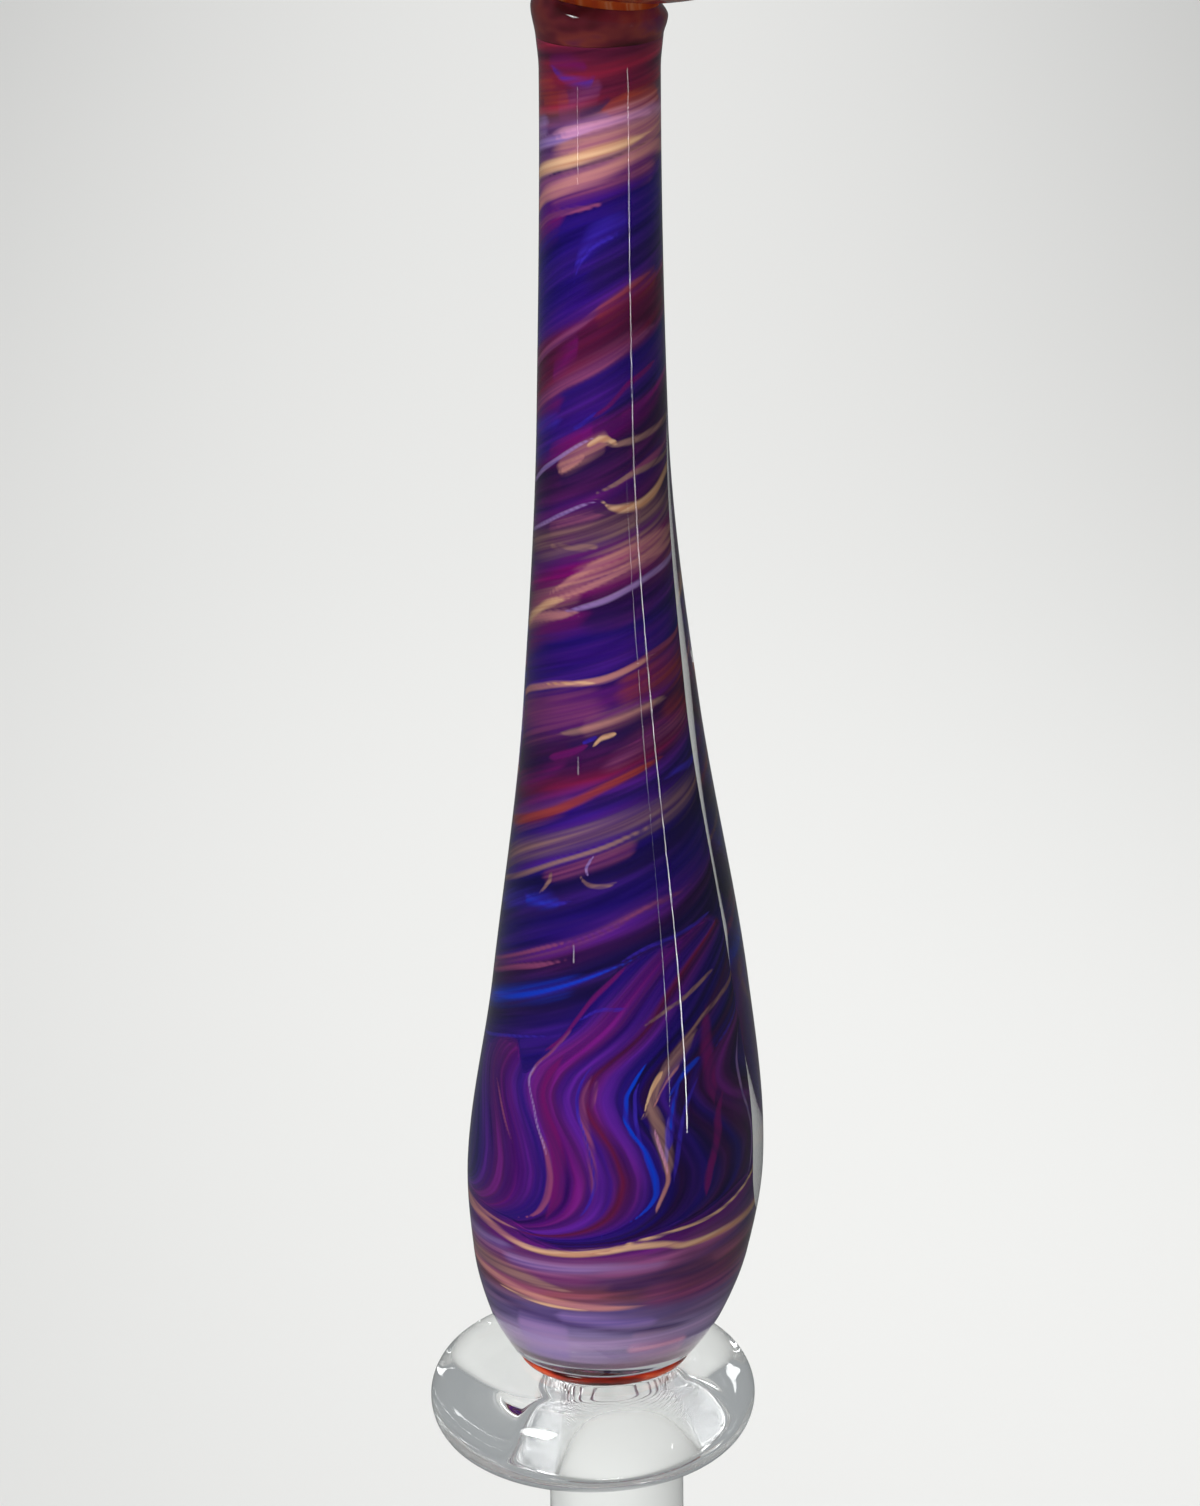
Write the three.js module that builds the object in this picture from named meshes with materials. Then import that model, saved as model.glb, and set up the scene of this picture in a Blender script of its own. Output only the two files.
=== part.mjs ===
// Mushroom plant stake, hand-made in clear glass over a swirled coloured core.
// Millimetres, +Z up. Z = 0 is the soil line: the flat underside of the clear disc.
// The rod stands on the Z axis. +X is the right-hand side as seen from the front (-Y).
import * as THREE from 'three';
import { mergeVertices } from 'three/addons/utils/BufferGeometryUtils.js';

// Clear rod that goes into the soil.
const ROD_DIAMETER = 8;
const ROD_LENGTH = 100;

// Clear disc that rests on the soil, pushed a little off the rod by hand.
const DISC_DIAMETER = 19.3;
const DISC_THICKNESS = 5.6;
const DISC_SHIFT = -1.35;

// Red glass ring round the weld between the disc and the clear foot of the stem.
const BASE_WELD_RADIUS = 4.85;
const BASE_WELD_FLARE = 0.25;
const BASE_WELD_HEIGHT = 0.7;
const BASE_WELD_BORE = 7.2;

// Stem: height of each station above the one below, and its outer radius.
const FOOT_RADIUS = 5.5;
const HEEL_RISE = 2.5;
const HEEL_RADIUS = 6.95;
const CALF_RISE = 3.8;
const CALF_RADIUS = 8.1;
const BULB_RISE = 5.3;
const BULB_RADIUS = 8.67;
const SHOULDER_RISE = 11.7;
const SHOULDER_RADIUS = 7.4;
const WAIST_RISE = 17;
const WAIST_RADIUS = 5;
const NECK_RISE = 16.6;
const NECK_RADIUS = 3.68;
const THROAT_RISE = 20.1;
const THROAT_RADIUS = 3.34;
const LIP_RISE = 1.9;
const LIP_RADIUS = 3.5;

// Clear wall over the coloured core: thin at both ends, thick in the bulb.
const FOOT_WALL = 1.2;
const BULB_WALL = 3;
const NECK_WALL = 1.2;
const LIP_WALL = 0.6;

// Lower end of the coloured core, above the clear foot, and the height of its rounding.
const CORE_FLOOR = 0.7;
const CORE_END_ROUND = 0.8;

// Sideways bow of the stem at four of the stations.
const FOOT_SHIFT = -0.6;
const BULB_SHIFT = 0.14;
const SHOULDER_SHIFT = 0.55;
const NECK_SHIFT = -0.1;

// How far the core lies off the middle of its casing, at five of the stations.
const FOOT_LEAN = -0.4;
const BULB_LEAN = -0.47;
const SHOULDER_LEAN = -0.45;
const WAIST_LEAN = -0.26;
const NECK_LEAN = -0.1;

// Dark red weld between the stem and the cap: a flared collar that draws in again under the cap.
const COLLAR_RADIUS = 3.75;
const COLLAR_RISE = 1.3;
const NECK_WELD_HEIGHT = 2.2;

// Cap: round belly, straight underside, round rim and domed top, leaning to the right.
const CAP_DIAMETER = 36;
const BELLY_RADIUS = 18;
const UNDERSIDE_SLOPE_DEGREES = 24;
const RIM_RADIUS = 4.5;
const DOME_HEIGHT = 14;
const CAP_WALL = 1.8;
const CAP_STUB_RADIUS = 3.3;
const CAP_TILT_DEGREES = 8;

// Gap left between glasses that are fused in the real piece.
const SEAM = 0.1;

// Smoothness of the facets.
const ROUND_STEPS = 32;
const STEM_STEPS = 28;
const ARC_STEPS = 8;

const rodRadius = ROD_DIAMETER / 2;
const discRadius = DISC_DIAMETER / 2;
const discRim = DISC_THICKNESS / 2;
const capRadius = CAP_DIAMETER / 2;
const capTilt = THREE.MathUtils.degToRad(CAP_TILT_DEGREES);
const undersideSlope = THREE.MathUtils.degToRad(UNDERSIDE_SLOPE_DEGREES);

const CLEAR_GLASS = { color: 0xe9efee, roughness: 0.04, metalness: 0 };
const SWIRL_GLASS = { color: 0x4a1f6e, roughness: 0.1, metalness: 0 };
const RED_GLASS = { color: 0xa2381f, roughness: 0.1, metalness: 0 };
const WINE_GLASS = { color: 0x4c161f, roughness: 0.1, metalness: 0 };
const AMBER_GLASS = { color: 0xb0522a, roughness: 0.1, metalness: 0 };

// Stem stations from the foot up, each with its own height above the foot.
function stemStations() {
  const steps = [
    [0, FOOT_RADIUS, FOOT_WALL, FOOT_SHIFT, FOOT_LEAN],
    [HEEL_RISE, HEEL_RADIUS, null, null, null],
    [CALF_RISE, CALF_RADIUS, null, null, null],
    [BULB_RISE, BULB_RADIUS, BULB_WALL, BULB_SHIFT, BULB_LEAN],
    [SHOULDER_RISE, SHOULDER_RADIUS, null, SHOULDER_SHIFT, SHOULDER_LEAN],
    [WAIST_RISE, WAIST_RADIUS, null, null, WAIST_LEAN],
    [NECK_RISE, NECK_RADIUS, NECK_WALL, NECK_SHIFT, NECK_LEAN],
    [THROAT_RISE, THROAT_RADIUS, null, null, null],
    [LIP_RISE, LIP_RADIUS, LIP_WALL, 0, 0],
  ];
  let height = 0;
  return steps.map(([rise, radius, wall, shift, lean]) => {
    height += rise;
    return { height, radius, wall, shift, lean };
  });
}

// Smooth curve of one station value against height. It never overshoots a station.
function curveThrough(stations, key) {
  const known = stations.filter((station) => station[key] !== null);
  const x = known.map((station) => station.height);
  const y = known.map((station) => station[key]);
  const last = x.length - 1;
  const gap = x.slice(1).map((value, i) => value - x[i]);
  const slope = gap.map((width, i) => (y[i + 1] - y[i]) / width);
  const tangent = y.map((_, i) => {
    if (i === 0) return slope[0];
    if (i === last) return slope[last - 1];
    if (slope[i - 1] * slope[i] <= 0) return 0;
    const before = 2 * gap[i] + gap[i - 1];
    const after = gap[i] + 2 * gap[i - 1];
    return (before + after) / (before / slope[i - 1] + after / slope[i]);
  });
  return (height) => {
    const at = THREE.MathUtils.clamp(height, x[0], x[last]);
    let i = 0;
    while (i < last - 1 && at > x[i + 1]) i += 1;
    const s = (at - x[i]) / gap[i];
    const rise = s * s * (3 - 2 * s);
    const leave = s * (1 - s) ** 2 * gap[i] * tangent[i];
    const arrive = s * s * (s - 1) * gap[i] * tangent[i + 1];
    return y[i] * (1 - rise) + y[i + 1] * rise + leave + arrive;
  };
}

// Points on a circular arc, from one angle to another, in radius and height.
function arc(centreRadius, centreHeight, radius, from, to, rise = radius) {
  return Array.from({ length: ARC_STEPS + 1 }, (_, i) => {
    const angle = from + ((to - from) * i) / ARC_STEPS;
    return new THREE.Vector2(centreRadius + radius * Math.cos(angle), centreHeight + rise * Math.sin(angle));
  });
}

// Turns a profile of radius and height round the Z axis into one closed solid.
function turned(profile) {
  const points = profile.map((point) => new THREE.Vector2(Math.max(point.x, 0), point.y));
  const lathe = new THREE.LatheGeometry(points, ROUND_STEPS);
  lathe.rotateX(Math.PI / 2);
  lathe.deleteAttribute('normal');
  lathe.deleteAttribute('uv');
  const merged = mergeVertices(lathe, 1e-4);
  const index = merged.getIndex().array;
  const kept = [];
  for (let i = 0; i < index.length; i += 3) {
    const [a, b, c] = [index[i], index[i + 1], index[i + 2]];
    if (a !== b && b !== c && c !== a) kept.push(a, b, c);
  }
  merged.setIndex(kept);
  return merged;
}

// Moves every vertex of a turned solid by a rule of its own place.
function reshape(geometry, rule) {
  const place = geometry.getAttribute('position');
  const point = new THREE.Vector3();
  for (let i = 0; i < place.count; i += 1) {
    point.fromBufferAttribute(place, i);
    rule(point);
    place.setXYZ(i, point.x, point.y, point.z);
  }
  return geometry;
}

function piece(name, geometry, glass) {
  geometry.computeVertexNormals();
  const mesh = new THREE.Mesh(geometry, new THREE.MeshStandardMaterial(glass));
  mesh.name = name;
  return mesh;
}

function flat(radius, height) {
  return new THREE.Vector2(radius, height);
}

// Rod with a fire-polished round end.
function stakeRod() {
  const end = arc(0, -ROD_LENGTH + rodRadius, rodRadius, -Math.PI / 2, 0);
  return piece('stake_rod', turned([...end, flat(rodRadius, 0), flat(0, 0)]), CLEAR_GLASS);
}

// Disc with two flat faces and a full round rim. A ring of points clear of the rod keeps its free face whole.
function soilDisc() {
  const free = rodRadius + Math.abs(DISC_SHIFT) + SEAM;
  const rim = arc(discRadius - discRim, discRim, discRim, -Math.PI / 2, Math.PI / 2);
  const profile = [flat(0, 0), flat(free, 0), ...rim, flat(0, DISC_THICKNESS)];
  const disc = piece('soil_disc', turned(profile), CLEAR_GLASS);
  disc.position.x = DISC_SHIFT;
  return disc;
}

// Low ring with a hollow side, round the boss that joins the stem's foot to the disc.
function baseWeld() {
  const middle = BASE_WELD_HEIGHT / 2;
  const bore = BASE_WELD_BORE / 2;
  const profile = [
    flat(bore, 0),
    flat(BASE_WELD_RADIUS + BASE_WELD_FLARE, 0),
    flat(BASE_WELD_RADIUS, middle),
    flat(BASE_WELD_RADIUS + BASE_WELD_FLARE, BASE_WELD_HEIGHT),
    flat(bore, BASE_WELD_HEIGHT),
    flat(bore, 0),
  ];
  const weld = piece('base_weld', turned(profile), RED_GLASS);
  weld.position.set(FOOT_SHIFT, 0, DISC_THICKNESS);
  return weld;
}

// Clear casing and coloured core of the stem. The casing is solid at its foot, with a boss inside the base weld.
function stem() {
  const stations = stemStations();
  const top = stations[stations.length - 1].height;
  const radius = curveThrough(stations, 'radius');
  const wall = curveThrough(stations, 'wall');
  const shift = curveThrough(stations, 'shift');
  const lean = curveThrough(stations, 'lean');
  const climb = (from) => Array.from({ length: STEM_STEPS + 1 }, (_, i) => from + (top - from) * (i / STEM_STEPS) ** 1.15);
  const hollow = (gap) => {
    const start = CORE_FLOOR + CORE_END_ROUND;
    const end = radius(start) - wall(start) - gap;
    const floor = arc(0, start, end, -Math.PI / 2, 0, CORE_END_ROUND - gap);
    const side = climb(start).slice(1).map((height) => flat(radius(height) - wall(height) - gap, height));
    return [...floor, ...side];
  };
  const boss = BASE_WELD_BORE / 2 - SEAM;
  const foot = [flat(0, -BASE_WELD_HEIGHT), flat(boss, -BASE_WELD_HEIGHT), flat(boss, 0)];
  const outside = climb(0).map((height) => flat(radius(height), height));
  const bow = (point) => {
    const depth = radius(point.z) - Math.hypot(point.x, point.y);
    const inner = point.z > CORE_FLOOR / 2 && depth > wall(point.z) / 2;
    point.x += shift(point.z) + (inner ? lean(point.z) : 0);
  };
  const casing = turned([...foot, ...outside, ...hollow(0).reverse()]);
  const core = turned([...hollow(SEAM), flat(0, top)]);
  const pieces = [
    piece('stem_casing', reshape(casing, bow), CLEAR_GLASS),
    piece('stem_core', reshape(core, bow), SWIRL_GLASS),
  ];
  const level = DISC_THICKNESS + BASE_WELD_HEIGHT;
  pieces.forEach((mesh) => {
    mesh.position.z = level;
  });
  return { pieces, top: level + top };
}

// Flared ring at the neck. Its top face leans with the cap that sits on it.
function neckWeld(height) {
  const side = new THREE.SplineCurve([
    flat(LIP_RADIUS, 0),
    flat(COLLAR_RADIUS, COLLAR_RISE),
    flat(CAP_STUB_RADIUS, NECK_WELD_HEIGHT),
  ]);
  const profile = [flat(0, 0), ...side.getPoints(ARC_STEPS), flat(0, NECK_WELD_HEIGHT)];
  const lean = (point) => {
    point.z -= (point.x * Math.tan(capTilt) * point.z) / NECK_WELD_HEIGHT;
  };
  const weld = piece('neck_weld', reshape(turned(profile), lean), WINE_GLASS);
  weld.position.z = height;
  return weld;
}

// Outline of the cap, set in by a wall all round, from the hole up to the top:
// belly arc, straight underside, rim arc, and a quarter ellipse for the dome.
function capOutline(wall, hole) {
  const rimCentre = capRadius - RIM_RADIUS;
  const bellyEdge = BELLY_RADIUS * Math.sin(undersideSlope);
  const bellyRise = BELLY_RADIUS * (1 - Math.cos(undersideSlope));
  const rimEdge = rimCentre + RIM_RADIUS * Math.sin(undersideSlope);
  const rimRise = bellyRise + (rimEdge - bellyEdge) * Math.tan(undersideSlope);
  const rimHeight = rimRise + RIM_RADIUS * Math.cos(undersideSlope);
  const start = Math.asin(hole / (BELLY_RADIUS - wall));
  const down = -Math.PI / 2;
  const belly = arc(0, BELLY_RADIUS, BELLY_RADIUS - wall, down + start, down + undersideSlope);
  const rim = arc(rimCentre, rimHeight, RIM_RADIUS - wall, down + undersideSlope, 0);
  const dome = arc(0, rimHeight, capRadius - wall, 0, Math.PI / 2, DOME_HEIGHT - wall);
  return [...belly, ...rim, ...dome.slice(1)];
}

// Cap of two glasses. The coloured core comes through the clear casing at the neck.
function cap(height) {
  const outside = capOutline(0, CAP_STUB_RADIUS + SEAM);
  const inside = capOutline(CAP_WALL, CAP_STUB_RADIUS + SEAM);
  const middle = capOutline(CAP_WALL + SEAM, CAP_STUB_RADIUS);
  const casing = turned([inside[0], ...outside, ...inside.slice().reverse()]);
  const core = turned([flat(0, 0), flat(CAP_STUB_RADIUS, 0), ...middle]);
  const group = new THREE.Group();
  group.name = 'cap';
  group.add(piece('cap_casing', casing, CLEAR_GLASS));
  group.add(piece('cap_core', core, AMBER_GLASS));
  group.rotation.y = capTilt;
  group.position.z = height + SEAM;
  return group;
}

const stake = new THREE.Group();
stake.name = 'mushroom_plant_stake';
const shaft = stem();
stake.add(stakeRod(), soilDisc(), baseWeld(), ...shaft.pieces);
stake.add(neckWeld(shaft.top), cap(shaft.top + NECK_WELD_HEIGHT));

export default stake;
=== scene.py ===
"""Mushroom plant stake: clear glass over a swirled core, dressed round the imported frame. In millimetres."""

import bpy
import numpy as np
from mathutils import Matrix, Vector

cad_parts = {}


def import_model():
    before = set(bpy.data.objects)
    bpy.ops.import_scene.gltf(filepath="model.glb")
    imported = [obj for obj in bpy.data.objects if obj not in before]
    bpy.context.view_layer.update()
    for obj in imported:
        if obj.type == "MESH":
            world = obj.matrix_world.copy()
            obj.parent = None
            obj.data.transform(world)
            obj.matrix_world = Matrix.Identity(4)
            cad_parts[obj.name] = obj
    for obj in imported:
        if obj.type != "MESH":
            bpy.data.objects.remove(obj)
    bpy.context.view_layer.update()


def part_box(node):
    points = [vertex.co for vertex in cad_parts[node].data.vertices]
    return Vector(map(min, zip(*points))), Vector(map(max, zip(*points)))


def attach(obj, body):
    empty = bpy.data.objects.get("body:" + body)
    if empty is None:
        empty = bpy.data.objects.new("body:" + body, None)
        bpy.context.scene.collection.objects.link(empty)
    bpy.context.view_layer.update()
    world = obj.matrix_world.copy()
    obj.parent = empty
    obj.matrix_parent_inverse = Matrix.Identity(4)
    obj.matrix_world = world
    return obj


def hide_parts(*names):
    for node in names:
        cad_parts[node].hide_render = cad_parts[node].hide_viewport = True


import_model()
scene = bpy.context.scene

MM = 0.001
QUARTER = np.pi / 2

# Rod, disc and weld, as in the part's source.
ROD_RADIUS = 4.0
ROD_FILLET = 0.9
DISC_RADIUS = 9.65
DISC_SHIFT = -1.35
WELD_RADIUS = 4.85
FOOT_EDGE = 0.4
# Section of the red ring: how far in its middle lies, and how far it sinks into disc and foot.
WELD_INSET = 0.15
WELD_HALF_WIDTH = 0.42
WELD_SINK = 0.03

# Stem stations above the foot: height, outer radius.
STEM_RADIUS = [
    (0, 5.5), (2.5, 6.95), (6.3, 8.1), (11.6, 8.67), (23.3, 7.4),
    (40.3, 5.0), (56.9, 3.68), (77.0, 3.34), (78.9, 3.5),
]
# Clear wall, sideways bow and off-centre lean of the core, each against height.
STEM_WALL = [(0, 1.2), (11.6, 3.0), (56.9, 1.2), (78.9, 0.6)]
STEM_SHIFT = [(0, -0.6), (11.6, 0.14), (23.3, 0.55), (56.9, -0.1), (78.9, 0)]
CORE_LEAN = [(0, -0.4), (11.6, -0.47), (23.3, -0.45), (40.3, -0.26), (56.9, -0.1), (78.9, 0)]
CORE_FLOOR = 0.7
CORE_END_ROUND = 0.8
CORE_SEAM = 0.02
# Below the collar the core widens over this height, by this share of the wall.
CORE_FLARE_HEIGHT = 5
CORE_FLARE_SHARE = 0.75

# Neck collar and cap.
COLLAR_RADIUS = 3.75
COLLAR_RISE = 1.3
COLLAR_SKIN = 0.15
NECK_HEIGHT = 2.2
CAP_RADIUS = 18.0
BELLY_RADIUS = 18.0
UNDERSIDE_SLOPE = np.radians(24)
RIM_RADIUS = 4.5
DOME_HEIGHT = 14.0
CAP_WALL = 1.8
STUB_RADIUS = 3.3
STUB_SINK = 0.1
CAP_TILT = np.radians(8)
# Width of the coloured arms at the cap's rim, and the degrees that they wind round from neck to crown.
ARM_WIDTH = 7.5
ARM_WINDING = 220

# Columns of faces round each piece. The core's are finer on the front, up to FRONT_EDGE degrees to each side.
CLEAR_COLUMNS = 128
COLLAR_COLUMNS = 96
CAP_CORE_COLUMNS = 160
FRONT_COLUMNS = 176
BACK_COLUMNS = 52
FRONT_EDGE = 118
# Rows of faces up each piece.
WELD_ROWS = 24
COLLAR_ROWS = 28
STEM_ROWS = 220
CORE_ROWS = 420
# The clear stem's rows lie closer at the foot: their heights go by this power.
STEM_ROW_CROWDING = 1.3

# Levels that the frame gives.
ROD_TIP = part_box("stake_rod")[0].z / MM
DISC_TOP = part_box("soil_disc")[1].z / MM
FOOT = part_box("base_weld")[1].z / MM
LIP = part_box("stem_casing")[1].z / MM
CAP_SEAT = LIP + NECK_HEIGHT
NOTCH = (FOOT - DISC_TOP) / 2

GLASS_IOR = 1.47

# Glass colours of the swirl, as sRGB.
GLASS = {
    "navy": "#180d3c", "indigo": "#24155f", "violet": "#381a68", "plum": "#2e0f3c", "purple": "#45185a",
    "magenta": "#641256", "wine": "#521533", "maroon": "#601d2f", "brown": "#55343c", "mauve": "#5c3a5c",
    "slate": "#57496a", "lavender": "#796a8b", "blush": "#84687a", "brick": "#8f3a2e", "salmon": "#b27a72",
    "tan": "#8a6762", "cream": "#cfa886", "lilac": "#9273a4", "rose": "#824064", "blue": "#1f43c0",
    "orchid": "#541763", "iris": "#3a2c9c", "pink": "#c68ba6",
}
# The duller tone that runs through each glass of the streaks.
DULL = {
    "navy": "#22103c", "magenta": "#451048", "rose": "#4a1e4a", "brick": "#5e1c2a", "tan": "#543840",
    "salmon": "#855260", "lilac": "#5c4a84", "pink": "#8e6088", "cream": "#a07458", "iris": "#2a1c74",
    "blue": "#26268a",
}

# Ground glass up the stem, at the height where it crosses the front.
GROUND = [
    (0.7, "blush"), (2, "lavender"), (3.4, "lavender"), (4.2, "slate"), (5, "slate"), (6, "brown"),
    (7.2, "mauve"), (8, "mauve"), (9, "purple"), (10.5, "purple"), (18, "violet"), (21, "indigo"),
    (23, "indigo"), (24.8, "navy"), (26.4, "navy"), (27.2, "plum"), (28.2, "violet"), (29.4, "indigo"),
    (31.8, "navy"), (33, "indigo"), (34.6, "violet"), (35.6, "indigo"), (36.2, "violet"), (37.6, "wine"),
    (38.6, "plum"), (39.8, "plum"), (41, "purple"), (42.2, "purple"), (43.2, "indigo"), (44.3, "violet"),
    (45.6, "indigo"), (46.4, "purple"), (47.4, "plum"), (49.4, "magenta"), (50.4, "purple"), (51.8, "plum"),
    (53.6, "purple"), (54.6, "plum"), (56.2, "plum"), (57, "magenta"), (57.6, "indigo"), (58.8, "violet"),
    (60.2, "indigo"), (61.2, "wine"), (63.6, "wine"), (64.6, "violet"), (66.5, "indigo"), (69.5, "indigo"),
    (70.3, "violet"), (71.4, "purple"), (72.4, "mauve"), (73.6, "mauve"), (74.6, "mauve"), (75.4, "brown"),
    (76.4, "maroon"), (77.3, "maroon"), (79, "maroon"),
]

# Upright flames in the bulb, at degrees round from the front where they stand straight.
FLAMES = [
    (-125, "indigo"), (-100, "violet"), (-90, "purple"), (-80, "purple"), (-72, "orchid"), (-64, "violet"),
    (-57, "indigo"), (-51, "violet"), (-45, "purple"), (-39, "orchid"), (-33, "purple"), (-27, "violet"),
    (-21, "violet"), (-15, "wine"), (-9, "purple"), (-3, "violet"), (3, "indigo"), (8, "indigo"),
    (11, "navy"), (15, "indigo"), (19, "plum"), (32, "indigo"), (36, "navy"), (41, "plum"), (47, "indigo"),
    (52, "plum"), (58, "purple"), (65, "plum"), (71, "violet"), (76, "indigo"),
]
# How the flames lean: degrees to the right against height.
FLAME_BEND = [
    (5, -120), (9, -60), (9.6, -14), (10.4, 8), (11.2, 17), (12.2, 21), (13, 21.5), (14, 19), (15, 15),
    (16, 9), (17, 3), (18, 0), (19.2, 4), (20.2, 13), (21.2, 25), (22.2, 36), (24, 52), (26, 74), (30, 160),
]
# Where the flames start and end: height against degrees round.
FLAME_FOOT = [
    (-180, 10), (-110, 9.6), (-60, 9.7), (-38, 9.2), (-20, 8.9), (0, 9.2), (20, 9.7), (50, 10.2),
    (90, 10.8), (180, 10),
]
FLAME_TOP = [
    (-180, 18.2), (-100, 19), (-80, 20.2), (-66, 20.4), (-56, 18.9), (-50, 19.3), (-41, 20.3), (-32, 21.4),
    (-22, 22.8), (-12, 24.1), (0, 25.2), (10, 26), (25, 26.7), (50, 27.1), (75, 27.5), (110, 26),
    (180, 18.2),
]

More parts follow.
